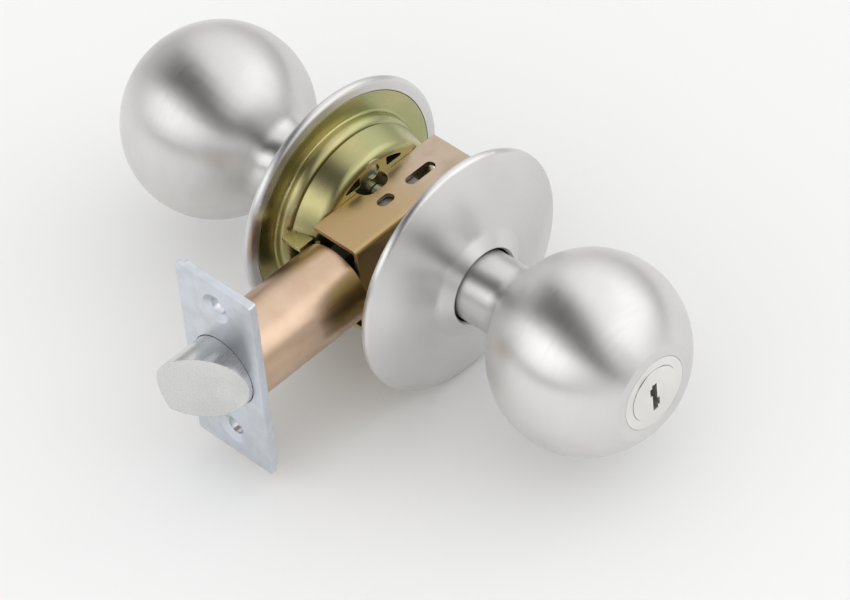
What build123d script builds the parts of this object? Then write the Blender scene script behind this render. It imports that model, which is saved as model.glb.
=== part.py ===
"""Keyed ball-knob lockset: two knobs on a through-door chassis with a spring latch.

Millimetres. The origin is where the knob axis (Y) meets the latch axis (X), in the middle of the door.
+Z is up, the keyed knob stands towards -Y, the inside knob towards +Y and the faceplate towards -X.
"""
import os
from math import hypot, sqrt

from build123d import *

# Door and fits
door_thickness = 38.0
backset = 60.3  # knob axis to the front of the faceplate
running_clearance = 0.08  # radial gap of what turns or slides in a bore
loose_clearance = 0.3  # gap between pieces that pass one another
seat_clearance = 0.2  # gap where one pressing nests in another
cut_margin = 1.0  # how far a cutter runs past the face it leaves by

# Knobs
knob_diameter = 51.0
knob_depth_share = 0.953  # ball along the knob axis, of its diameter
knob_reach = 63.5  # mid door to the ball's centre
knob_wall = 1.2
neck_diameter = 19.0
neck_flare = 5.0  # fillet from neck to ball
key_face_diameter = 26.0  # flat on the keyed knob's front
button_face_diameter = 20.0  # flat on the inside knob's front
face_edge = 0.8

# Roses and what they sit on
rose_diameter = 66.0
rose_sheet = 1.0
rose_hem = 2.7  # rim turned in under the dish
rose_hem_round = 0.7
rose_rim_height = 1.75
rose_rim_round = 0.7
rose_shoulder_share = 0.754  # of the rose's radius
rose_shoulder_height = 5.2
rose_dome_share = 0.59  # dome's round, of the rose's diameter
rose_flare_share = 0.43  # of the rose's radius
rose_flare_height = 7.0
rose_flare_round = 4.0
rose_depth = 9.6  # door face to the collar's edge
rose_collar_gap = 0.35
liner_sheet = 1.2
liner_collar_height = 3.6
liner_collar_round = 0.8
dish_margin = 7.5  # screw axis to the dish's outer wall
dish_depth = 4.0
dish_edge_round = 1.2
dish_floor_round = 2.2

# Spindles and hubs
spindle_wall = 1.2
spindle_inner_end = 3.0  # from mid door
spindle_setback = 5.4  # spindle's outer end to the lock cylinder's rear
hub_wall = 2.6
hub_stand = 5.5  # hub past the door face
cam_thickness = 2.0
cam_tip_gap = 0.5  # cam's tip to the frame's strap
cam_width = 4.0
cam_tip_round = 1.9
cam_hole_radius = 3.2

# Chassis
frame_sheet = 1.2
frame_height = 27.4
frame_length = 42.0
frame_front = 6.5  # mid door to the web's inner face, outside half
frame_rear = 7.0  # mid door to the straps' edge, inside half
frame_bend = 1.8
frame_tab_width = 6.0
frame_tab_spacing = 18.0
frame_tab_proud = 0.4
spring_wall_height = 18.0
spring_wall_depth = 13.0
strap_slot_length = 9.4
strap_slot_width = 3.0
strap_slot_x = 9.0
strap_hole_length = 5.0
strap_hole_width = 3.0
strap_hole_x = -3.2
strap_notch_length = 9.4
strap_notch_depth = 3.2
strap_notch_x = -1.3
end_plate_thickness = 1.5
end_plate_margin = 0.8  # tab slots' corners to where the plate's edge turns up
cup_round = 2.2
cup_taper = 2.0  # cup's gain in radius from floor to rim
window_start = 4.6  # screw's axis to the windows beside its boss
window_rise = 1.4  # strap's outer face to the windows
window_margin = 0.6
window_round = 0.5
latch_opening_height = 14.0  # cut in the cup's wall for the latch
latch_lip_thickness = 1.2
latch_lip_reach = 2.8  # lip past the cup's rim
screw_clear = 2.8  # strap's outer face to the mounting screw's axis
screw_diameter = 3.9
screw_head_diameter = 7.0
screw_head_height = 2.2
screw_slot_width = 0.9
screw_boss_diameter = 6.8
screw_boss_height = 1.8
screw_tip_inset = 0.5  # tip below the end plate's front

# Retractor
retract_travel = 12.7
retractor_thickness = 5.2
retractor_rear = 8.0
retractor_slot_front = -14.0
retractor_slot_rear = 3.4
retractor_slot_height = 6.8
retractor_arm_height = 17.2
ear_height = 3.3
ear_length = 3.7
jaw_thickness = 2.0
retractor_spring_spacing = 13.0
retractor_spring_radius = 1.4
retractor_spring_wire = 0.3
retractor_spring_front = -8.0
retractor_spring_turns = 6

# Latch
faceplate_height = 57.15
faceplate_width = 25.4
faceplate_thickness = 1.4
faceplate_corner = 0.8
faceplate_screw_spacing = 41.3
faceplate_hole_diameter = 4.6
countersink_diameter = 8.4
countersink_depth = 1.0
backing_margin = 0.8
tube_diameter = 22.0
tube_wall = 0.9
tube_inner_end = -22.0  # from the knob axis
bolt_radius = 9.8
bolt_rear = -46.0
bolt_tip_flat = 3.3
bolt_bevel_start = 1.2  # from the faceplate front to the foot of the bevel
bolt_edge = 0.6
bolt_stand = 0.3  # left standing out when fully drawn back
tail_thickness = 2.0
tail_height = 6.0
tail_head_height = 10.4
tail_head_length = 2.0
tail_head_front = -19.0
tail_slot_depth = 6.5
tail_pin_radius = 1.2
tail_pin_inset = 3.0
tail_pin_short = 0.4
bolt_spring_radius = 7.4
bolt_spring_wire = 0.5
bolt_spring_turns = 5
washer_thickness = 1.2

# Lock cylinder
cylinder_radius = 9.9
cylinder_length = 25.0
chamber_housing_height = 14.0
chamber_housing_width = 7.2
chamber_housing_setback = 4.4
plug_radius = 6.35
plug_flange_radius = 7.4
plug_flange_length = 1.4
plug_proud = 0.2
plug_tail_radius = 4.5
plug_tail_length = 2.6
keyway_width = 1.6
keyway_height = 8.4
keyway_drop = 1.2  # keyway's middle below the plug's axis
keyway_ward_offset = 0.7
keyway_ward_height = 2.4
pin_count = 5
pin_pitch = 3.9
pin_first = 2.2  # first chamber behind the housing's front
pin_radius = 1.4
pin_clearance = 0.08
driver_length = 2.5
pin_spring_wire = 0.3
pin_cover_thickness = 0.8
key_pin_lengths = (3.4, 4.2, 3.0, 3.8, 3.4)
clip_thickness = 1.0
clip_wall = 3.2
bar_width = 4.0
bar_thickness = 1.2
bar_inner_end = 2.4  # from mid door

# Lock button
button_radius = 5.5
button_proud = 4.5
button_travel = 3.5
button_flange = 1.5
button_flange_thickness = 1.5
button_edge = 1.2
button_spring_radius = 4.0
button_spring_wire = 0.35
button_spring_turns = 5
end_cap_thickness = 1.2

# Knob catches
catch_setback = 29.5  # ball's centre to the catch, along the knob axis
catch_radius = 1.6
catch_flange = 1.0
catch_flange_thickness = 0.8
catch_tip_under = 0.2  # below the neck's outer surface
catch_carrier_inner = 2.3
catch_carrier_thickness = 0.7
catch_carrier_length = 5.0
catch_spring_wall = 0.3

# Values worked out from those above
door_face = door_thickness / 2
knob_radius = knob_diameter / 2
knob_axial_radius = knob_radius * knob_depth_share
neck_radius = neck_diameter / 2
spindle_radius = neck_radius - knob_wall - running_clearance
spindle_bore = spindle_radius - spindle_wall
hub_bore = spindle_radius + running_clearance
hub_radius = hub_bore + hub_wall
hub_end = door_face + hub_stand
neck_start = hub_end + loose_clearance
rose_radius = rose_diameter / 2
rose_rim = rose_radius - rose_sheet / 2
rose_collar = neck_radius + rose_collar_gap + rose_sheet / 2
liner_radius = rose_rim - rose_hem - seat_clearance
web_outer = frame_front + frame_sheet
end_plate_outer = frame_rear + end_plate_thickness
strap_outer = frame_height / 2
strap_inner = strap_outer - frame_sheet
frame_end = frame_length / 2
cam_reach = strap_inner - cam_tip_gap
tab_corner = (frame_tab_spacing + frame_tab_width + seat_clearance) / 2
end_plate_radius = hypot(tab_corner, strap_outer + seat_clearance / 2) + end_plate_margin
cup_corner = end_plate_radius + cup_round / 2
cup_rim = cup_corner + cup_taper
faceplate_front = -backset
backing_front = faceplate_front + faceplate_thickness
tube_front = backing_front + faceplate_thickness
tube_radius = tube_diameter / 2
tube_bore = tube_radius - tube_wall
bolt_tip = faceplate_front - retract_travel - bolt_stand
washer_rear = tube_inner_end - loose_clearance
washer_front = washer_rear - washer_thickness
screw_radius = screw_diameter / 2
screw_offset = strap_outer + screw_clear
dish_radius = screw_offset + dish_margin
dish_floor = door_face + liner_sheet / 2 - dish_depth  # middle of the sheet
cup_end = dish_floor - liner_sheet / 2 - loose_clearance
catch_height = knob_reach - catch_setback
chamber_radius = pin_radius + pin_clearance
key_pin_top = sqrt(plug_radius**2 - chamber_radius**2) - pin_clearance
driver_bottom = plug_radius + 2 * pin_clearance
driver_top = driver_bottom + driver_length
chamber_top = chamber_housing_height - pin_cover_thickness


def face_height(face_diameter):
    """Distance from mid door to the flat of that diameter on a knob's front."""
    share = face_diameter / knob_diameter
    return knob_reach + knob_axial_radius * sqrt(1 - share**2)


key_face = face_height(key_face_diameter)
button_face = face_height(button_face_diameter)
button_seat = button_face - knob_wall - seat_clearance
cylinder_rear = key_face - cylinder_length
housing_front = key_face - chamber_housing_setback
spindle_end = cylinder_rear - spindle_setback


# Shapes are drawn in a local frame with Z outwards along the knob axis and Y up, then set in place.
def turned(section):
    """Revolves a section drawn as (radius, height) about the local Z axis."""
    return revolve(Plane.XZ * section, Axis.Z)


def ring(outer, inner, start, end):
    """Plain ring, or a disc where inner is zero, between two heights."""
    middle = Pos((outer + inner) / 2, (start + end) / 2)
    return turned(middle * Rectangle(outer - inner, end - start))


def sheet(points, rounds, thickness):
    """Turned pressing of even thickness along a rounded middle line."""
    return turned(trace(FilletPolyline(*points, radius=rounds), thickness))


def block(low, high):
    """Box between two corners."""
    size = [b - a for a, b in zip(low, high)]
    middle = [(a + b) / 2 for a, b in zip(low, high)]
    return Pos(*middle) * Box(*size)


def coil(radius, wire, start, end, turns):
    """Coil spring along the local Z axis, of square wire."""
    path = Pos(0, 0, start) * Helix(pitch=(end - start) / turns, height=end - start, radius=radius)
    section = Plane(path @ 0, z_dir=path % 0) * RegularPolygon(wire, 4)
    return sweep(section, path, is_frenet=True)


def outside(shape):
    """Sets a local shape on the keyed side, towards -Y."""
    return Rot(90, 0, 0) * shape


def inside(shape):
    """Sets a local shape on the inside, towards +Y, as the keyed side's mirror image."""
    return mirror(outside(shape), about=Plane.XZ)


def along_latch(shape):
    """Turns a local shape so that its heights run along X."""
    return Rot(0, 90, 0) * shape


def across(shape):
    """Turns a local shape so that its heights run along Y."""
    return Rot(-90, 0, 0) * shape


# Knobs
def knob_outline(grow, start, face, edge):
    """Half section of the ball and neck, grown by a distance and cut off at the flat face."""
    ball = Pos(0, knob_reach) * Ellipse(knob_radius + grow, knob_axial_radius + grow)
    neck_middle = (start + knob_reach) / 2
    neck = Pos(0, neck_middle) * Rectangle(2 * (neck_radius + grow), knob_reach - start)
    outline = ball + neck
    junction = [v for v in outline.vertices() if start + cut_margin < v.Y < knob_reach]
    outline = fillet(junction, neck_flare - grow)
    half = Pos(knob_radius, (start + face) / 2) * Rectangle(2 * knob_radius, face - start)
    outline = outline & half
    if edge:
        rim = outline.vertices().group_by(Axis.Y)[-1].sort_by(Axis.X)[-1]
        outline = fillet(rim, edge)
    return outline


def catch_hole(radius):
    """Drill for the knob catch, radially through the lower side."""
    hole = Rot(90, 0, 0) * Cylinder(radius, neck_radius, align=(Align.CENTER, Align.CENTER, Align.MIN))
    return Pos(0, 0, catch_height) * hole


def knob(face, hole_radius):
    """Spun knob shell with a hole in its front face."""
    outer = knob_outline(0, neck_start, face, face_edge)
    inner = knob_outline(-knob_wall, neck_start - cut_margin, face - knob_wall, 0)
    opening = Pos(0, face) * Rectangle(2 * hole_radius, 4 * knob_wall)
    return turned(outer - inner - opening) - catch_hole(catch_radius + running_clearance)


def spindle(wall):
    """Spindle tube with its roll-back cam, the cam lying against the chassis wall."""
    cam_end = wall - seat_clearance
    tube = ring(spindle_radius, spindle_bore, spindle_inner_end, spindle_end)
    lobes = Rectangle(cam_width, 2 * cam_reach)
    lobes = fillet(lobes.vertices(), cam_tip_round)
    plate = lobes + Circle(spindle_radius) - Circle(cam_hole_radius)
    cam = Pos(0, 0, cam_end - cam_thickness) * extrude(plate, cam_thickness)
    return tube + cam - catch_hole(catch_radius + running_clearance)


def knob_catch():
    """Catch pin with the flange that keeps it in the spindle."""
    flange_radius = catch_radius + catch_flange
    flange_top = sqrt(spindle_bore**2 - flange_radius**2) - seat_clearance
    pin = ring(catch_radius, 0, flange_top - catch_flange_thickness, neck_radius - catch_tip_under)
    pin += ring(flange_radius, 0, flange_top - catch_flange_thickness, flange_top)
    return Pos(0, 0, catch_height) * Rot(90, 0, 0) * pin


def catch_carrier():
    """Bridge across the spindle that the catch spring stands on."""
    top = catch_carrier_inner + catch_carrier_thickness
    reach = sqrt(spindle_bore**2 - top**2) - running_clearance
    start = catch_height - catch_carrier_length / 2
    end = catch_height + catch_carrier_length / 2
    return block((-reach, -top, start), (reach, -catch_carrier_inner, end))


def catch_spring():
    """Closely wound catch spring, drawn as its sleeve."""
    flange_radius = catch_radius + catch_flange
    flange_top = sqrt(spindle_bore**2 - flange_radius**2) - seat_clearance
    start = catch_carrier_inner + catch_carrier_thickness
    sleeve = ring(catch_radius, catch_radius - catch_spring_wall, start, flange_top - catch_flange_thickness)
    return Pos(0, 0, catch_height) * Rot(90, 0, 0) * sleeve


# Roses and hubs
def rose():
    """Convex rose with a hemmed rim and a flared collar."""
    base = door_face + rose_sheet / 2
    points = (
        (rose_rim - rose_hem, base),
        (rose_rim, base),
        (rose_rim, door_face + rose_rim_height),
        (rose_shoulder_share * rose_radius, door_face + rose_shoulder_height),
        (rose_flare_share * rose_radius, door_face + rose_flare_height),
        (rose_collar, door_face + rose_depth),
    )
    rounds = [rose_hem_round, rose_rim_round, rose_dome_share * rose_diameter, rose_flare_round]
    return sheet(points, rounds, rose_sheet)


def rose_liner():
    """Flat liner of the outside rose with a collar that screws on the hub."""
    level = door_face + liner_sheet / 2
    collar = hub_radius + running_clearance + liner_sheet / 2
    points = ((liner_radius, level), (collar, level), (collar, door_face + liner_collar_height))
    return sheet(points, [liner_collar_round], liner_sheet)


def mounting_plate():
    """Dished plate under the inside rose, which reaches into the door's bore."""
    level = door_face + liner_sheet / 2
    wall = dish_radius - liner_sheet / 2
    bore = hub_radius + loose_clearance
    points = ((liner_radius, level), (wall, level), (wall, dish_floor), (bore, dish_floor))
    plate = sheet(points, [dish_edge_round, dish_floor_round], liner_sheet)
    for side in (1, -1):
        drill = ring(screw_radius + loose_clearance, 0, dish_floor - liner_sheet, dish_floor + liner_sheet)
        plate -= Pos(0, side * screw_offset) * drill
    return plate


def hub(start):
    """Bearing sleeve of a spindle, fixed to the chassis."""
    return ring(hub_radius, hub_bore, start, hub_end)


def mounting_screw():
    """Slotted pan-head screw from the mounting plate into the chassis end plate."""
    seat = dish_floor + liner_sheet / 2
    tip = frame_rear + screw_tip_inset
    screw = ring(screw_radius, 0, tip, seat)
    head = ring(screw_head_diameter / 2, 0, seat, seat + screw_head_height)
    screw += fillet(head.edges().group_by(Axis.Z)[-1], screw_head_height / 3)
    slot_floor = seat + screw_head_height / 2
    reach = screw_head_diameter
    screw -= block((-reach, -screw_slot_width / 2, slot_floor), (reach, screw_slot_width / 2, slot_floor + reach))
    return screw


# Chassis, in the part's own frame
def chassis_frame():
    """Folded U frame: a web with two straps, and a wall that the retractor springs push on."""
    depth = web_outer + frame_rear
    middle = (frame_rear - web_outer) / 2
    outer = Pos(middle, 0) * Rectangle(depth, frame_height)
    outer = fillet(outer.vertices().group_by(Axis.X)[0], frame_bend)
    inner = Pos(middle + frame_sheet, 0) * Rectangle(depth, 2 * strap_inner)
    inner = fillet(inner.vertices().group_by(Axis.X)[0], frame_bend - frame_sheet)
    frame = extrude(Plane.YZ * (outer - inner), frame_end, both=True)
    wall_half = spring_wall_height / 2
    wall_high = (frame_end + frame_sheet, spring_wall_depth - web_outer, wall_half)
    frame += block((frame_end, -web_outer, -wall_half), wall_high)
    frame -= across(Pos(0, 0, -web_outer) * Cylinder(hub_bore, 4 * frame_sheet))
    slot = Pos(strap_slot_x, 0) * SlotOverall(strap_slot_length, strap_slot_width)
    hole = Pos(strap_hole_x, 0) * SlotOverall(strap_hole_length, strap_hole_width)
    notch = Pos(strap_notch_x, frame_rear) * SlotOverall(strap_notch_length, 2 * strap_notch_depth)
    frame -= extrude(slot + hole + notch, frame_height, both=True)
    tab_reach = end_plate_outer + frame_tab_proud
    for side in (1, -1):
        for centre in (-frame_tab_spacing / 2, frame_tab_spacing / 2):
            low = sorted((side * strap_inner, side * strap_outer))
            start = (centre - frame_tab_width / 2, frame_rear, low[0])
            frame += block(start, (centre + frame_tab_width / 2, tab_reach, low[1]))
    return frame


def floor_window():
    """Relief window of the cup's floor, in the corner between a strap, a screw boss and the cup's wall."""
    reach = end_plate_radius - window_margin
    base = strap_outer + window_rise
    corner = Pos(window_start + reach / 2, base + reach / 2) * Rectangle(reach, reach)
    window = Circle(reach) & corner
    return fillet(window.vertices(), window_round)


def end_plate():
    """Drawn inside cup of the chassis: tab slots, tapped bosses, windows and a flanged opening for the latch."""
    level = frame_rear + end_plate_thickness / 2
    plate = sheet(((hub_bore, level), (cup_corner, level), (cup_rim, cup_end)), [cup_round], end_plate_thickness)
    boss_top = end_plate_outer + screw_boss_height
    for side in (1, -1):
        plate += Pos(0, side * screw_offset) * ring(screw_boss_diameter / 2, 0, frame_rear, boss_top)
        tapping = ring(screw_radius + running_clearance, 0, frame_rear - cut_margin, boss_top + cut_margin)
        plate -= Pos(0, side * screw_offset) * tapping
        for centre in (-frame_tab_spacing / 2, frame_tab_spacing / 2):
            middle = side * (strap_inner + strap_outer) / 2
            size = (frame_tab_width + seat_clearance, frame_sheet + seat_clearance, 4 * end_plate_thickness)
            plate -= Pos(centre, middle, frame_rear) * Box(*size)
    window = extrude(floor_window(), 2 * end_plate_outer)
    window += mirror(window, about=Plane.YZ)
    plate -= window + mirror(window, about=Plane.XZ)
    opening = latch_opening_height / 2
    lip_end = -cup_rim - latch_lip_reach
    low = (lip_end, -opening, frame_rear - cut_margin)
    plate -= block(low, (-end_plate_radius, opening, cup_end + cut_margin))
    for side in (1, -1):
        faces = sorted((side * opening, side * (opening + latch_lip_thickness)))
        plate += block((lip_end, faces[0], end_plate_outer), (-cup_corner, faces[1], cup_end))
    return plate


def retractor():
    """Slide with a jaw for the latch tail, ears for the outside cam and slots for its springs."""
    half_height = strap_inner - loose_clearance
    half = retractor_thickness / 2
    pocket_rear = tail_head_front + tail_head_length + loose_clearance
    pocket_front = tail_head_front - loose_clearance
    jaw_front = pocket_front - jaw_thickness
    slot_half = retractor_slot_height / 2
    pocket_half = tail_head_height / 2 + loose_clearance
    body_length = retractor_rear - retractor_slot_front
    body = Pos((retractor_rear + retractor_slot_front) / 2, 0) * Rectangle(body_length, 2 * half_height)
    arms_length = retractor_slot_front - jaw_front
    body += Pos((retractor_slot_front + jaw_front) / 2, 0) * Rectangle(arms_length, retractor_arm_height)
    slot_length = retractor_slot_rear - jaw_front + cut_margin
    body -= Pos(retractor_slot_rear - slot_length / 2, 0) * Rectangle(slot_length, 2 * slot_half)
    pocket_length = pocket_rear - pocket_front
    body -= Pos((pocket_rear + pocket_front) / 2, 0) * Rectangle(pocket_length, 2 * pocket_half)
    spring_gap = 2 * (retractor_spring_radius + retractor_spring_wire) + loose_clearance
    for side in (1, -1):
        length = retractor_rear - retractor_spring_front + cut_margin
        middle = retractor_spring_front + length / 2
        body -= Pos(middle, side * retractor_spring_spacing / 2) * Rectangle(length, spring_gap)
    slide = extrude(Plane.XZ * body, half, both=True)
    contact = cam_width / 2 + loose_clearance
    ear_outer = half_height - seat_clearance
    ear_end = frame_front - 2 * seat_clearance
    for side in (1, -1):
        low, high = sorted((side * ear_outer, side * (ear_outer - ear_height)))
        slide += block((contact, -ear_end, low), (contact + ear_length, -half, high))
    return slide


def retractor_springs():
    """Pair of coil springs between the retractor's slots and the frame's wall."""
    start = retractor_spring_front + seat_clearance
    end = frame_end - seat_clearance
    wire = retractor_spring_wire
    spring = along_latch(coil(retractor_spring_radius, wire, start + wire, end - wire, retractor_spring_turns))
    half = retractor_spring_spacing / 2
    return [Pos(0, 0, half) * spring, Pos(0, 0, -half) * spring]


# Latch, in the part's own frame
def latch_plate(front, width, height, countersunk):
    """Flat latch plate with a round bolt hole and two screw holes."""
    outline = fillet(Rectangle(width, height).vertices(), faceplate_corner)
    outline -= Circle(bolt_radius + loose_clearance / 2)
    for side in (1, -1):
        outline -= Pos(0, side * faceplate_screw_spacing / 2) * Circle(faceplate_hole_diameter / 2)
    plate = Pos(front, 0, 0) * extrude(Plane.YZ * outline, faceplate_thickness)
    if countersunk:
        wide = countersink_diameter / 2
        cone = Cone(wide, faceplate_hole_diameter / 2, countersink_depth, align=(Align.CENTER, Align.CENTER, Align.MIN))
        for side in (1, -1):
            plate -= Pos(front, 0, side * faceplate_screw_spacing / 2) * along_latch(cone)
    return plate


def latch_bolt():
    """Round bolt with a bevelled nose and a slotted rear end for its tail."""
    bolt = along_latch(ring(bolt_radius, 0, bolt_tip, bolt_rear))
    foot = faceplate_front - bolt_bevel_start
    nose = bolt_radius - bolt_tip_flat
    margin = 2 * bolt_radius
    wedge = make_face(Polyline((bolt_tip, nose), (foot, -bolt_radius), (bolt_tip, -margin), close=True))
    bolt -= extrude(wedge, margin, both=True)
    slot_half = (tail_thickness / 2 + seat_clearance, tail_height / 2 + seat_clearance)
    slot_front = bolt_rear - tail_slot_depth
    slot_rear = bolt_rear + cut_margin
    bolt -= block((slot_front, -slot_half[0], -slot_half[1]), (slot_rear, slot_half[0], slot_half[1]))
    pin_hole = Cylinder(tail_pin_radius + running_clearance, 4 * bolt_radius)
    bolt -= Pos(bolt_rear - tail_pin_inset, 0, 0) * across(pin_hole)
    rim = bolt.edges().filter_by(GeomType.CIRCLE).group_by(Axis.X)[-1]
    return chamfer(rim, bolt_edge)


def latch_tail():
    """Flat tail with a T head that the retractor's jaw holds."""
    front = bolt_rear - tail_slot_depth + seat_clearance
    length = tail_head_front - front
    outline = Pos(front + length / 2, 0) * Rectangle(length, tail_height)
    outline += Pos(tail_head_front + tail_head_length / 2, 0) * Rectangle(tail_head_length, tail_head_height)
    outline -= Pos(bolt_rear - tail_pin_inset, 0) * Circle(tail_pin_radius + running_clearance)
    return extrude(Plane.XZ * outline, tail_thickness / 2, both=True)


def tail_pin():
    """Cross pin that joins the tail to the bolt."""
    length = 2 * (sqrt(bolt_radius**2 - tail_pin_radius**2) - tail_pin_short)
    return Pos(bolt_rear - tail_pin_inset, 0, 0) * across(Cylinder(tail_pin_radius, length))


def tube_washer():
    """Washer that closes the tube round the tail and carries the bolt spring."""
    washer = ring(tube_bore - running_clearance, 0, washer_front, washer_rear)
    slot = Box(tail_height + 2 * loose_clearance, tail_thickness + 2 * loose_clearance, 6 * washer_thickness)
    return along_latch(washer - Pos(0, 0, washer_front) * slot)


# Lock cylinder, in the local frame of the keyed side
def pin_heights():
    """Heights of the pin chambers along the knob axis."""
    return [housing_front - pin_first - pin_pitch * index for index in range(pin_count)]


def upright(radius, low, high, height):
    """Small cylinder standing up from one level to another at a height along the knob axis."""
    post = Cylinder(radius, high - low, align=(Align.CENTER, Align.CENTER, Align.MIN))
    return Pos(0, low, height) * Rot(-90, 0, 0) * post


def lock_cylinder():
    """Cylinder body with the pin chambers' housing above its plug bore."""
    half = chamber_housing_width / 2
    body = ring(cylinder_radius, 0, cylinder_rear, key_face)
    body += block((-half, 0, cylinder_rear), (half, chamber_top, housing_front))
    body -= ring(plug_radius + running_clearance, 0, cylinder_rear - cut_margin, key_face + cut_margin)
    flange_floor = key_face - plug_flange_length - running_clearance
    body -= ring(plug_flange_radius + running_clearance, 0, flange_floor, key_face + cut_margin)
    for height in pin_heights():
        body -= upright(chamber_radius, 0, chamber_top + cut_margin, height)
    return body


def key_plug():
    """Turning plug with a warded keyway, pin chambers and a stepped tail."""
    rear = cylinder_rear + seat_clearance
    front = key_face + plug_proud
    plug = ring(plug_radius, 0, rear, front)
    plug += ring(plug_flange_radius, 0, key_face - plug_flange_length, front)
    plug += ring(plug_tail_radius, 0, rear - plug_tail_length, rear)
    slot = Pos(0, -keyway_drop) * Rectangle(keyway_width, keyway_height)
    for side in (1, -1):
        ward_level = -keyway_drop - side * keyway_height / 4
        slot += Pos(side * keyway_ward_offset, ward_level) * Rectangle(keyway_width, keyway_ward_height)
    keyway_rear = rear + plug_tail_length
    plug -= Pos(0, 0, keyway_rear) * extrude(slot, front - keyway_rear + cut_margin)
    for height in pin_heights():
        plug -= upright(chamber_radius, 0, plug_radius + cut_margin, height)
    return plug


def key_pins():
    """Key pins with rounded tips, their tops at the plug's surface as with a key in."""
    pins = []
    for height, length in zip(pin_heights(), key_pin_lengths):
        pin = upright(pin_radius, key_pin_top - length, key_pin_top, height)
        tip = pin.edges().group_by(Axis.Y)[0]
        pins.append(chamfer(tip, pin_radius / 2))
    return pins


def driver_pins():
    """Driver pins just above the plug's surface."""
    return [upright(pin_radius, driver_bottom, driver_top, height) for height in pin_heights()]


def pin_springs():
    """Closely wound pin springs, drawn as their sleeves."""
    springs = []
    for height in pin_heights():
        sleeve = upright(pin_radius, driver_top, chamber_top, height)
        bore = upright(pin_radius - pin_spring_wire, driver_top - cut_margin, chamber_top + cut_margin, height)
        springs.append(sleeve - bore)
    return springs


def pin_cover():
    """Strip that closes the pin chambers."""
    half = chamber_housing_width / 2
    return block((-half, chamber_top, cylinder_rear), (half, chamber_housing_height, housing_front))


def plug_clip():
    """Open ring on the plug's tail that keeps the plug in its bore."""
    end = cylinder_rear - seat_clearance
    inner = plug_tail_radius + running_clearance
    clip = ring(inner + clip_wall, inner, end - clip_thickness, end)
    gap = plug_tail_radius
    low = (-gap / 2, -2 * gap - clip_wall, end - clip_thickness - cut_margin)
    return clip - block(low, (gap / 2, 0, end + cut_margin))


def flat_bar(end):
    """Flat bar along the knob axis from the chassis to a height."""
    half = (bar_width / 2, bar_thickness / 2)
    return block((-half[0], -half[1], bar_inner_end), (half[0], half[1], end))


# Lock button, in the local frame of the inside
def lock_button():
    """Push button with a flange that stops against the knob's face from within."""
    tip = button_face + button_proud
    flange_bottom = button_seat - button_flange_thickness
    button = ring(button_radius, 0, flange_bottom, tip)
    button = fillet(button.edges().group_by(Axis.Z)[-1], button_edge)
    return button + ring(button_radius + button_flange, 0, flange_bottom, button_seat)


def end_cap():
    """Cap on the inside spindle's end that the button spring stands on."""
    cap = ring(spindle_radius, 0, spindle_end, spindle_end + end_cap_thickness)
    slot = (bar_width + 2 * loose_clearance, bar_thickness + 2 * loose_clearance, 4 * end_cap_thickness)
    return cap - Pos(0, 0, spindle_end) * Box(*slot)


def button_spring():
    """Coil spring that returns the lock button."""
    wire = button_spring_wire
    start = spindle_end + end_cap_thickness + seat_clearance + wire
    end = button_seat - button_flange_thickness - seat_clearance - wire
    return coil(button_spring_radius, wire, start, end, button_spring_turns)


def bolt_spring():
    """Coil spring round the tail that pushes the bolt out."""
    wire = bolt_spring_wire
    start = bolt_rear + seat_clearance + wire
    end = washer_front - seat_clearance - wire
    return along_latch(coil(bolt_spring_radius, wire, start, end, bolt_spring_turns))


def many(shapes):
    """Several like solids as one group."""
    return Compound(children=list(shapes))


faceplate = latch_plate(faceplate_front, faceplate_width, faceplate_height, True)
backing_size = (faceplate_width - 2 * backing_margin, faceplate_height - 2 * backing_margin)
screws = [Pos(0, side * screw_offset) * mounting_screw() for side in (1, -1)]
parts = {
    "outside_knob": outside(knob(key_face, cylinder_radius + running_clearance)),
    "outside_rose": outside(rose()),
    "outside_rose_liner": outside(rose_liner()),
    "outside_hub": outside(hub(web_outer)),
    "outside_spindle": outside(spindle(frame_front)),
    "outside_knob_catch": outside(knob_catch()),
    "outside_catch_carrier": outside(catch_carrier()),
    "outside_catch_spring": outside(catch_spring()),
    "lock_cylinder": outside(lock_cylinder()),
    "key_plug": outside(key_plug()),
    "key_pins": many(outside(pin) for pin in key_pins()),
    "driver_pins": many(outside(pin) for pin in driver_pins()),
    "pin_springs": many(outside(spring) for spring in pin_springs()),
    "pin_cover": outside(pin_cover()),
    "plug_clip": outside(plug_clip()),
    "tailpiece": outside(flat_bar(cylinder_rear + seat_clearance - plug_tail_length)),
    "inside_knob": inside(knob(button_face, button_radius + loose_clearance)),
    "inside_rose": inside(rose()),
    "inside_mounting_plate": inside(mounting_plate()),
    "inside_hub": inside(hub(end_plate_outer)),
    "inside_spindle": inside(spindle(frame_rear)),
    "inside_knob_catch": inside(knob_catch()),
    "inside_catch_carrier": inside(catch_carrier()),
    "inside_catch_spring": inside(catch_spring()),
    "lock_button": inside(lock_button()),
    "locking_bar": inside(flat_bar(button_seat - button_flange_thickness)),
    "button_spring": inside(button_spring()),
    "spindle_end_cap": inside(end_cap()),
    "mounting_screws": many(inside(screw) for screw in screws),
    "chassis_frame": chassis_frame(),
    "inside_end_plate": inside(end_plate()),
    "retractor": retractor(),
    "retractor_springs": many(retractor_springs()),
    "latch_faceplate": faceplate,
    "latch_backing_plate": latch_plate(backing_front, *backing_size, False),
    "latch_tube": along_latch(ring(tube_radius, tube_bore, tube_front, tube_inner_end)),
    "latch_bolt": latch_bolt(),
    "latch_tail": latch_tail(),
    "latch_tail_pin": tail_pin(),
    "latch_bolt_spring": bolt_spring(),
    "latch_tube_washer": tube_washer(),
}

os.makedirs("parts", exist_ok=True)
for name, shape in parts.items():
    export_step(shape, f"parts/{name}.step")
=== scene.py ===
"""Looks of the keyed ball-knob lockset: satin stainless, chromated pressings, a studio and the camera."""
import math

import bmesh
import bpy
from mathutils import Matrix, Vector

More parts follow.
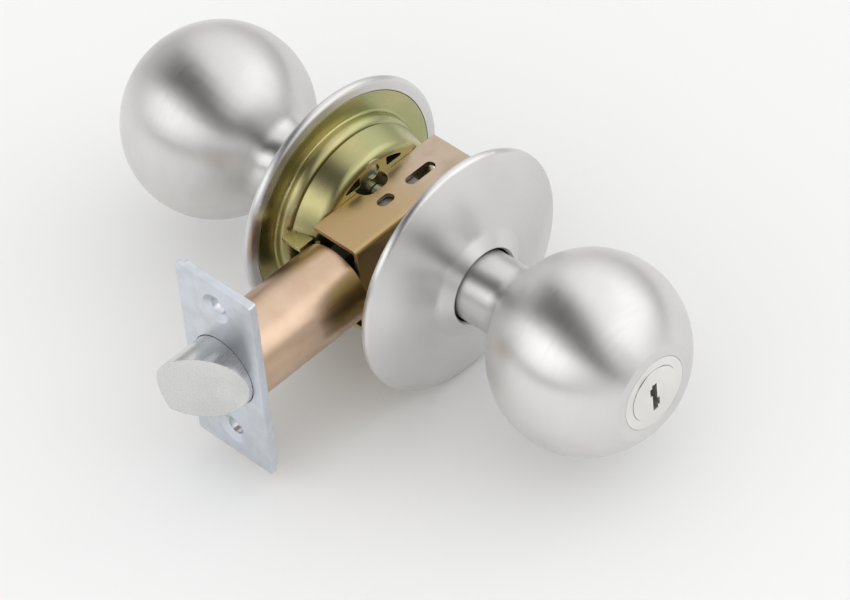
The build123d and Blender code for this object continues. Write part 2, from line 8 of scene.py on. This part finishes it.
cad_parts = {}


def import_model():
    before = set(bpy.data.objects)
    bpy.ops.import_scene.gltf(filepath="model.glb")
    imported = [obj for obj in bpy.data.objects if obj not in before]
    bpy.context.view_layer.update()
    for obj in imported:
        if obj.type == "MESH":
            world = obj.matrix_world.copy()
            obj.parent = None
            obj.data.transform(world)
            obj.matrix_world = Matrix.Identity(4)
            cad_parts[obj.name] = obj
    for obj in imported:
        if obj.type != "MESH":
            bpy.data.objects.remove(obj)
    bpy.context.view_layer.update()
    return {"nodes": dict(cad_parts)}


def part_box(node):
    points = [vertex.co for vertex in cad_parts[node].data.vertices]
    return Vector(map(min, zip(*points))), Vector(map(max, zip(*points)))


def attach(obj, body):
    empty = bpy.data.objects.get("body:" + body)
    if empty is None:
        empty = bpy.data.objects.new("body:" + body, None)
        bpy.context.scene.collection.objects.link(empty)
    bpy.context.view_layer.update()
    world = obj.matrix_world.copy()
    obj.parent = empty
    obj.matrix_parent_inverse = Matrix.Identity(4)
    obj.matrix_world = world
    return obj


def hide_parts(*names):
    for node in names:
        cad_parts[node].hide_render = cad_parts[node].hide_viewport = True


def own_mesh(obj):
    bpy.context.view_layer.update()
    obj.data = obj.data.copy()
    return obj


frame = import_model()
nodes = frame["nodes"]
MM = 0.001

# Camera, fitted to the photograph
AZIMUTH = math.radians(-41.65)
ELEVATION = math.radians(45.15)
ROLL = math.radians(-6.13)
DISTANCE = 1.262
SHIFT_RIGHT = 4.54 * MM
SHIFT_UP = -17.07 * MM
FOCAL_PIXELS = 5150.0
IMAGE_WIDTH = 850.0
SENSOR = 36.0

# Metal: drawn or turned marks, a mottle of two tones and a slow drift to a third; on the tan frame the third
# tone is also painted shade along X
BARE = (0.72, 0.71, 0.69, 1)  # where plating is rubbed off an edge
MARK_DETAIL = 4.0
MARK_ROUGH = 0.6
MARK_DEPTH = 0.02 * MM
MARK_TONE = 0.25  # share of the marks in the tone; the mottle has the rest
MARK_DULL = 0.6  # share of the marks in the roughness; the mottle has the rest
MOTTLE_DETAIL = 3.0
MOTTLE_ROUGH = 0.55
MOTTLE_EDGES = (0.35, 0.65)  # noise levels of the first tone and the second
DRIFT_SHIFT = (0.31, 0.17, 0.53)  # sets the drift apart from the mottle
DRIFT_SCALE = 0.4  # of the mottle's scale
DRIFT_DETAIL = 2.0
DRIFT_EDGES = (0.45, 0.7)  # noise levels where the third tone starts and where it is full
DRIFT_LEFT = 0.3  # share of the drift that stays where the third tone is painted shade along a piece
WEAR_EDGES = (0.01, 0.12)  # lean of the softened normal where wear starts and where it is full
WEAR_SPREAD = (0.3, 1.2)  # wear from one end of the mottle to the other
BRUSH_TURN = 0.25  # lays the highlight across the marks
EDGE_SAMPLES = 4

# Springs and threads
WIRE_SIDES = 10
COIL_STEPS = 28  # to one turn
PIN_COUNT = 5
PIN_WIRE = 0.15 * MM  # radius
PIN_TURNS = 7
THREAD_PITCH = 1.5 * MM
THREAD_DEPTH = 0.55 * MM
THREAD_SLOPE = 1.6  # depth that half a pitch would reach, in thread depths
THREAD_CREST = 0.3  # what the flat crest takes off it
THREAD_ROWS = 12  # to one pitch
THREAD_COLUMNS = 90
BORE_RADIUS = 8.3 * MM
HUB_RADIUS = 10.9 * MM
HUB_CHAMFER = 0.8 * MM
SHARP_ANGLE = math.radians(50)  # edges of a sleeve that bend more than this stay crisp
# each axis with the two directions across it
AXES = {"X": (Vector((1, 0, 0)), Vector((0, 1, 0)), Vector((0, 0, 1))),
        "Y": (Vector((0, 1, 0)), Vector((0, 0, 1)), Vector((1, 0, 0))),
        "Z": (Vector((0, 0, 1)), Vector((1, 0, 0)), Vector((0, 1, 0)))}

# Studio: a floor, two soft boxes, and a room that only metal mirrors
FLOOR_LEVEL = -33.2 * MM
FLOOR_SIZE = 8.0
FLOOR_COLOUR = (0.87, 0.87, 0.865, 1)
FLOOR_ROUGH = 0.9
FLOOR_SHINE = 0.1
RIGHT_BOX_AT = (0.74, -0.74, 0.77)
RIGHT_BOX_SIZE = (1.6, 0.9)
RIGHT_BOX_WATTS = 2.1
LEFT_BOX_AT = (-1.05, 0.2, 0.55)
LEFT_BOX_SIZE = (1.6, 0.7)
LEFT_BOX_WATTS = 1.5
ROOM_GLOW = (0.5, 1.09)  # at the horizon and overhead
ROOM_RISE = (-0.1, 0.6)  # heights between which the glow grows
GAP_NORMAL = (0.905, -0.263, 0.333)  # the dark gap between the boxes lies in this plane
GAP_GLOW = 0.08  # share of the room's glow inside the gap
GAP_EDGES = (0.12, 0.5)  # where the gap starts to pale and where it ends
GAP_TIP_EDGES = (0.02, 0.26)  # the same at its narrow tip, towards -Y
GAP_TIP = (-0.95, -0.2)  # Y where the tip is and where the gap has its full width
GAP_LEAN = 0.06  # shift towards -X at the far end
GAP_LEAN_RISE = (0.2, 0.8)  # Y where the shift starts and where it is full
GAP_BACK = (0.76, 0.98)  # Y where the gap starts to fade and where it is gone
GAP_FOOT = (0.25, -0.05)  # height where the gap starts to fade and where it is gone


def add(tree, kind, inputs=None, **settings):
    """New node with its settings, its input values and its links."""
    node = tree.nodes.new(kind)
    for key, value in settings.items():
        setattr(node, key, value)
    for key, value in (inputs or {}).items():
        if isinstance(value, bpy.types.NodeSocket):
            tree.links.new(value, node.inputs[key])
        else:
            node.inputs[key].default_value = value
    return node


def maths(tree, operation, first, second=0.0):
    """Result of one sum on two values or sockets."""
    return add(tree, "ShaderNodeMath", {0: first, 1: second}, operation=operation).outputs[0]


def blend(tree, share, first, second):
    """Sum of two values or sockets, where the second has the given share."""
    rest = maths(tree, "MULTIPLY", first, 1.0 - share)
    return maths(tree, "ADD", rest, maths(tree, "MULTIPLY", second, share))


def remap(tree, value, low, high):
    """Takes 0 to 1 onto low to high."""
    return add(tree, "ShaderNodeMapRange", {"Value": value, "To Min": low, "To Max": high}).outputs[0]


def ramp(tree, value, low, high):
    """Smooth 0 to 1 as the value goes from low to high."""
    limits = {"Value": value, "From Min": low, "From Max": high}
    return add(tree, "ShaderNodeMapRange", limits, interpolation_type="SMOOTHSTEP").outputs[0]


def noise(tree, vector, scale, detail, rough=0.5):
    """Noise value at a vector."""
    settings = {"Vector": vector, "Scale": scale, "Detail": detail, "Roughness": rough}
    return add(tree, "ShaderNodeTexNoise", settings).outputs[0]


def mix(tree, share, first, second):
    """Colour between two colours or sockets."""
    return add(tree, "ShaderNodeMix", {0: share, 6: first, 7: second}, data_type="RGBA").outputs[2]


def place(tree):
    """Position on the piece, in metres."""
    return add(tree, "ShaderNodeTexCoord").outputs["Object"]


def split(tree, vector):
    """X, Y and Z of a vector, by name."""
    return add(tree, "ShaderNodeSeparateXYZ", {"Vector": vector}).outputs


def dot(tree, first, second):
    """Dot product of two vectors or sockets."""
    return add(tree, "ShaderNodeVectorMath", {0: first, 1: second}, operation="DOT_PRODUCT").outputs["Value"]


def turned(tree, axis, across, around):
    """Vector whose noise runs in rings round an axis, as lathe marks do."""
    parts = split(tree, place(tree))
    other = [parts[name] for name in "XYZ" if name != axis]
    flat = add(tree, "ShaderNodeCombineXYZ", {"X": other[0], "Y": other[1]}).outputs[0]
    radius = add(tree, "ShaderNodeVectorMath", {0: flat}, operation="LENGTH").outputs["Value"]
    unit = add(tree, "ShaderNodeVectorMath", {0: flat}, operation="NORMALIZE").outputs["Vector"]
    ring = split(tree, unit)
    cross = maths(tree, "MULTIPLY", maths(tree, "ADD", parts[axis], radius), across)
    sweep = [maths(tree, "MULTIPLY", ring[name], around) for name in "XY"]
    return add(tree, "ShaderNodeCombineXYZ", {"X": sweep[0], "Y": sweep[1], "Z": cross}).outputs[0]


def straight(tree, axis, across, along):
    """Vector whose noise runs in straight lines along an axis, as rolling marks do."""
    scale = [across, across, across]
    scale["XYZ".index(axis)] = along
    return add(tree, "ShaderNodeMapping", {"Vector": place(tree), "Scale": scale}).outputs[0]


def metal(name, tones, rough, marks, axis="Y", mottle=60.0, edge=0.12, grain=0.25, spread=0.1,
          aniso=0.0, wear=0.0, shade_run=None):
    """Metal in three tones, with drawn or turned marks in bump and roughness, softened, worn edges, and,
    where asked, painted shade along the axis.

    marks: turned or straight, with its scales across and along the marks
    edge: radius in mm by which edges look rounded
    shade_run: places along the axis where the painted shade, in the third tone, starts and where it is full
    """
    material = bpy.data.materials.new(name)
    material.use_nodes = True
    tree = material.node_tree
    shader = tree.nodes["Principled BSDF"]
    shader.inputs["Metallic"].default_value = 1.0
    first, second, third = [(*tone, 1) for tone in tones]

    kind, across, along = marks
    lines = noise(tree, kind(tree, axis, across, along), 1.0, MARK_DETAIL, MARK_ROUGH)
    clouds = noise(tree, place(tree), mottle, MOTTLE_DETAIL, MOTTLE_ROUGH)
    colour = mix(tree, blend(tree, MARK_TONE, ramp(tree, clouds, *MOTTLE_EDGES), lines), first, second)
    shifted = add(tree, "ShaderNodeVectorMath", {0: place(tree), 1: DRIFT_SHIFT}, operation="ADD").outputs[0]
    drift = ramp(tree, noise(tree, shifted, mottle * DRIFT_SCALE, DRIFT_DETAIL), *DRIFT_EDGES)
    # painted shade: the third tone grows along the axis, darker towards the full end
    if shade_run:
        painted_shade = ramp(tree, split(tree, place(tree))[axis], *shade_run)
        drift = maths(tree, "MAXIMUM", maths(tree, "MULTIPLY", drift, DRIFT_LEFT), painted_shade)
    colour = mix(tree, drift, colour, third)

    soft = add(tree, "ShaderNodeBevel", {"Radius": edge * MM}, samples=EDGE_SAMPLES).outputs[0]
    if wear:
        flat = add(tree, "ShaderNodeNewGeometry").outputs["Normal"]
        lean = maths(tree, "SUBTRACT", 1.0, dot(tree, flat, soft))
        worn = maths(tree, "MULTIPLY", ramp(tree, lean, *WEAR_EDGES), wear)
        colour = mix(tree, maths(tree, "MULTIPLY", worn, remap(tree, clouds, *WEAR_SPREAD)), colour, BARE)
    tree.links.new(colour, shader.inputs["Base Color"])

    dull = remap(tree, blend(tree, MARK_DULL, clouds, lines), rough - spread, rough + spread)
    tree.links.new(dull, shader.inputs["Roughness"])
    relief = {"Height": lines, "Normal": soft, "Strength": grain, "Distance": MARK_DEPTH}
    tree.links.new(add(tree, "ShaderNodeBump", relief).outputs[0], shader.inputs["Normal"])
    if aniso:
        shader.inputs["Anisotropic"].default_value = aniso
        shader.inputs["Anisotropic Rotation"].default_value = BRUSH_TURN
        tangent = add(tree, "ShaderNodeTangent", direction_type="RADIAL", axis=axis)
        tree.links.new(tangent.outputs[0], shader.inputs["Tangent"])
    return material


def dress(material, *names):
    """Gives CAD nodes a material."""
    for name in names:
        slots = nodes[name].data.materials
        slots.clear()
        slots.append(material)


satin = metal("satin_stainless", ((0.77, 0.76, 0.745), (0.66, 0.65, 0.64), (0.72, 0.715, 0.71)), 0.35,
              (turned, 1300.0, 3.0), mottle=25.0, edge=0.3, grain=0.6, spread=0.16, aniso=0.8)
yellow = metal("yellow_chromate", ((0.54, 0.48, 0.25), (0.42, 0.39, 0.18), (0.41, 0.42, 0.21)), 0.29,
               (turned, 1800.0, 4.0), mottle=90.0, edge=0.2, aniso=0.4, wear=0.5)
# tan_chromate: its third, darker olive tone is painted shade, full towards -X past -10 mm
tan = metal("tan_chromate", ((0.58, 0.465, 0.37), (0.46, 0.365, 0.275), (0.50, 0.36, 0.19)), 0.36,
            (straight, 2500.0, 60.0), axis="X", mottle=120.0, wear=0.6, shade_run=(18.0 * MM, -10.0 * MM))
copper = metal("copper_plate", ((0.70, 0.52, 0.39), (0.60, 0.43, 0.30), (0.66, 0.50, 0.34)), 0.3,
               (straight, 2500.0, 40.0), axis="X", mottle=80.0, wear=0.5)
zinc = metal("bright_zinc", ((0.69, 0.72, 0.77), (0.60, 0.63, 0.67), (0.66, 0.70, 0.77)), 0.34,
             (straight, 2200.0, 50.0), axis="Z", mottle=260.0, wear=0.5)
bolt = metal("bolt_steel", ((0.72, 0.72, 0.715), (0.63, 0.63, 0.625), (0.69, 0.69, 0.685)), 0.27,
             (straight, 3000.0, 40.0), axis="X", mottle=70.0, edge=0.25)
nickel = metal("nickel_plate", ((0.86, 0.85, 0.83), (0.79, 0.78, 0.76), (0.83, 0.82, 0.80)), 0.33,
               (turned, 3500.0, 2.0), aniso=0.8)
brass = metal("brass", ((0.74, 0.58, 0.30), (0.66, 0.50, 0.24), (0.72, 0.54, 0.27)), 0.25,
              (turned, 3000.0, 3.0))
steel = metal("plain_steel", ((0.52, 0.52, 0.52), (0.43, 0.43, 0.43), (0.48, 0.48, 0.49)), 0.36,
              (turned, 2500.0, 3.0), wear=0.4)
spring = metal("spring_steel", ((0.46, 0.46, 0.47), (0.37, 0.37, 0.38), (0.42, 0.41, 0.40)), 0.3,
               (turned, 2500.0, 3.0), edge=0.05)
cast = metal("cast_zinc", ((0.32, 0.31, 0.30), (0.24, 0.235, 0.23), (0.28, 0.275, 0.27)), 0.5,
             (straight, 1500.0, 1500.0), mottle=300.0, wear=0.5)

dress(satin, "outside_knob", "inside_knob", "outside_rose", "inside_rose", "lock_button")
dress(yellow, "inside_mounting_plate", "outside_rose_liner", "inside_end_plate")
dress(tan, "chassis_frame", "latch_tail")
dress(copper, "latch_tube")
dress(zinc, "latch_faceplate", "latch_backing_plate", "mounting_screws")
dress(bolt, "latch_bolt", "latch_tail_pin")
dress(nickel, "lock_cylinder", "key_plug")
dress(brass, "key_pins", "driver_pins", "pin_cover")
dress(steel, "outside_spindle", "inside_spindle", "outside_knob_catch", "inside_knob_catch",
      "outside_catch_carrier", "inside_catch_carrier", "plug_clip", "tailpiece", "locking_bar",
      "spindle_end_cap", "latch_tube_washer")
dress(cast, "retractor")


def finished(name, mesh, material, body, node):
    """Makes an object of a mesh that stands for a CAD node and rides on its body."""
    bmesh.ops.recalc_face_normals(mesh, faces=mesh.faces)
    data = bpy.data.meshes.new(name)
    mesh.to_mesh(data)
    mesh.free()
    for polygon in data.polygons:
        polygon.use_smooth = True
    data.materials.append(material)
    item = bpy.data.objects.new(name, data)
    bpy.context.scene.collection.objects.link(item)
    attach(item, body)
    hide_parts(node)
    return item


def coil(mesh, axis, centre, low, high, radius, wire, turns):
    """Adds a spring with one closed turn at each end; wire is the wire's radius."""
    along, side, up = AXES[axis]
    ends = 4 * wire  # height of the two closed turns
    free = (high - low - 2 * wire - ends) / (turns - 2)
    count = int(turns * COIL_STEPS)
    rings = []
    for step in range(count + 1):
        turn = turns * step / count
        closed = min(turn, 1.0) + max(turn - turns + 1, 0.0)
        rise = low + wire + closed * 2 * wire + (turn - closed) * free
        angle = 2 * math.pi * turn
        outward = side * math.cos(angle) + up * math.sin(angle)
        middle = Vector(centre) + along * rise + outward * radius
        ring = []
        for corner in range(WIRE_SIDES):
            bend = 2 * math.pi * corner / WIRE_SIDES
            ring.append(mesh.verts.new(middle + (outward * math.cos(bend) + along * math.sin(bend)) * wire))
        rings.append(ring)
    for first, second in zip(rings, rings[1:]):
        for corner in range(WIRE_SIDES):
            other = (corner + 1) % WIRE_SIDES
            mesh.faces.new((first[corner], first[other], second[other], second[corner]))
    mesh.faces.new(rings[0])
    mesh.faces.new(rings[-1])


def springs():
    """Round-wire springs in place of the plain CAD ones."""
    # node, piece, body, axis, wire's radius in mm, turns, sides of the middle, joint, end that stays
    rows = (
        ("retractor_springs", "retractor_coils", "chassis", "X", 0.3, 14, (-1, 1), "retractor_pull", "high"),
        ("latch_bolt_spring", "bolt_coil", "chassis", "X", 0.5, 7, (0,), "latch_bolt_draw", "high"),
        ("button_spring", "button_coil", "inside_knob_body", "Y", 0.35, 10, (0,), "lock_button_push", "low"),
        ("outside_catch_spring", "outside_catch_coil", "outside_knob_body", "Z", 0.15, 4, (0,),
         "outside_catch_press", "high"),
        ("inside_catch_spring", "inside_catch_coil", "inside_knob_body", "Z", 0.15, 4, (0,),
         "inside_catch_press", "high"),
    )
    for node, name, body, axis, wire, turns, sides, joint, fixed in rows:
        low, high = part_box(node)
        index = "XYZ".index(axis)
        middle = (low + high) / 2
        middle[index] = 0.0
        thin = wire * MM
        width = high[(index + 1) % 3] - low[(index + 1) % 3]
        radius = width / 2 - thin
        mesh = bmesh.new()
        for side in sides:
            lift = Vector((0, 0, side * ((high.z - low.z) / 2 - radius - thin)))
            coil(mesh, axis, middle + lift, low[index], high[index], radius, thin, turns)
        item = finished(name, mesh, spring, body, node)
        anchor = middle.copy()
        anchor[index] = high[index] if fixed == "high" else low[index]
        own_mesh(item)


def pin_coils():
    """Small springs over the driver pins."""
    low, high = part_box("pin_springs")
    radius = (high.x - low.x) / 2
    mesh = bmesh.new()
    for index in range(PIN_COUNT):
        where = low.y + radius + index * (high.y - low.y - 2 * radius) / (PIN_COUNT - 1)
        coil(mesh, "Z", Vector((0, where, 0)), low.z, high.z, radius - PIN_WIRE, PIN_WIRE, PIN_TURNS)
    finished("pin_coils", mesh, spring, "outside_knob_body", "pin_springs")


def hub(name, node, flip):
    """Threaded sleeve of a spindle; flip is 1 or -1, the way its thread winds."""
    low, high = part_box(node)
    length = high.y - low.y
    rows = int(length / THREAD_PITCH * THREAD_ROWS)
    mesh = bmesh.new()
    rings = []
    for row in range(rows + 1):
        rise = length * row / rows
        edge = min(rise, length - rise) / HUB_CHAMFER
        ring = []
        for column in range(THREAD_COLUMNS):
            share = column / THREAD_COLUMNS
            phase = (rise / THREAD_PITCH - share) % 1.0
            flank = min(max(abs(2 * phase - 1) * THREAD_SLOPE - THREAD_CREST, 0.0), 1.0)
            depth = THREAD_DEPTH * max(flank, 1.0 - edge if edge < 1.0 else 0.0)
            angle = 2 * math.pi * share * flip
            reach = HUB_RADIUS - depth
            ring.append(mesh.verts.new((reach * math.cos(angle), low.y + rise, reach * math.sin(angle))))
        rings.append(ring)
    for rise in (high.y, low.y):
        ring = []
        for column in range(THREAD_COLUMNS):
            angle = 2 * math.pi * column / THREAD_COLUMNS * flip
            ring.append(mesh.verts.new((BORE_RADIUS * math.cos(angle), rise, BORE_RADIUS * math.sin(angle))))
        rings.append(ring)
    for first, second in zip(rings, rings[1:] + rings[:1]):
        for column in range(THREAD_COLUMNS):
            other = (column + 1) % THREAD_COLUMNS
            mesh.faces.new((first[column], first[other], second[other], second[column]))
    item = finished(name, mesh, steel, "chassis", node)
    sharp = item.modifiers.new("ends", "EDGE_SPLIT")
    sharp.split_angle = SHARP_ANGLE


springs()
pin_coils()
hub("outside_threaded_hub", "outside_hub", 1)
hub("inside_threaded_hub", "inside_hub", -1)


def floor():
    """Plain pale floor."""
    bpy.ops.mesh.primitive_plane_add(size=FLOOR_SIZE, location=(0, 0, FLOOR_LEVEL))
    plane = bpy.context.object
    plane.name = "floor"
    material = bpy.data.materials.new("floor")
    material.use_nodes = True
    shader = material.node_tree.nodes["Principled BSDF"]
    shader.inputs["Base Color"].default_value = FLOOR_COLOUR
    shader.inputs["Roughness"].default_value = FLOOR_ROUGH
    shader.inputs["Specular IOR Level"].default_value = FLOOR_SHINE
    plane.data.materials.append(material)


def world():
    """White all round; metal mirrors a pale room with a dim horizon and a dark gap between the boxes."""
    scene_world = bpy.data.worlds.new("studio")
    bpy.context.scene.world = scene_world
    scene_world.use_nodes = True
    tree = scene_world.node_tree
    way = add(tree, "ShaderNodeTexCoord").outputs["Generated"]
    parts = split(tree, way)
    lean = maths(tree, "MULTIPLY", ramp(tree, parts["Y"], *GAP_LEAN_RISE), GAP_LEAN)
    off = maths(tree, "ABSOLUTE", maths(tree, "ADD", dot(tree, way, GAP_NORMAL), lean))
    wide = ramp(tree, parts["Y"], *GAP_TIP)
    edges = [remap(tree, wide, tip, full) for tip, full in zip(GAP_TIP_EDGES, GAP_EDGES)]
    gap = ramp(tree, off, *edges)
    gap = maths(tree, "MAXIMUM", gap, ramp(tree, parts["Y"], *GAP_BACK))
    gap = maths(tree, "MAXIMUM", gap, ramp(tree, parts["Z"], *GAP_FOOT))
    room = remap(tree, ramp(tree, parts["Z"], *ROOM_RISE), *ROOM_GLOW)
    glow = maths(tree, "MULTIPLY", room, remap(tree, gap, GAP_GLOW, 1.0))
    mirrored = add(tree, "ShaderNodeLightPath").outputs["Is Glossy Ray"]
    strength = add(tree, "ShaderNodeMix", {0: mirrored, 2: 1.0, 3: glow}).outputs[0]
    background = tree.nodes["Background"]
    background.inputs["Color"].default_value = (1, 1, 1, 1)
    tree.links.new(strength, background.inputs["Strength"])


def soft_box(name, spot, size, watts):
    """Large soft lamp that points at the origin."""
    lamp = bpy.data.lights.new(name, "AREA")
    lamp.shape = "RECTANGLE"
    lamp.size, lamp.size_y = size
    lamp.energy = watts
    item = bpy.data.objects.new(name, lamp)
    bpy.context.scene.collection.objects.link(item)
    item.location = spot
    item.rotation_euler = (-Vector(spot)).to_track_quat("-Z", "Y").to_euler()


def camera():
    """Camera at the photograph's angle."""
    flat = math.cos(ELEVATION)
    back = Vector((math.sin(AZIMUTH) * flat, -math.cos(AZIMUTH) * flat, math.sin(ELEVATION)))
    level = Vector((math.cos(AZIMUTH), math.sin(AZIMUTH), 0))
    upright = back.cross(level)
    right = level * math.cos(ROLL) + upright * math.sin(ROLL)
    up = upright * math.cos(ROLL) - level * math.sin(ROLL)
    lens = bpy.data.cameras.new("camera")
    lens.sensor_width = SENSOR
    lens.lens = FOCAL_PIXELS / IMAGE_WIDTH * SENSOR
    item = bpy.data.objects.new("camera", lens)
    bpy.context.scene.collection.objects.link(item)
    item.matrix_world = Matrix((right, up, back)).transposed().to_4x4()
    item.location = level * SHIFT_RIGHT + upright * SHIFT_UP + back * DISTANCE
    bpy.context.scene.camera = item


floor()
world()
soft_box("box_right", RIGHT_BOX_AT, RIGHT_BOX_SIZE, RIGHT_BOX_WATTS)
soft_box("box_left", LEFT_BOX_AT, LEFT_BOX_SIZE, LEFT_BOX_WATTS)
camera()
bpy.context.scene.view_settings.view_transform = "Standard"
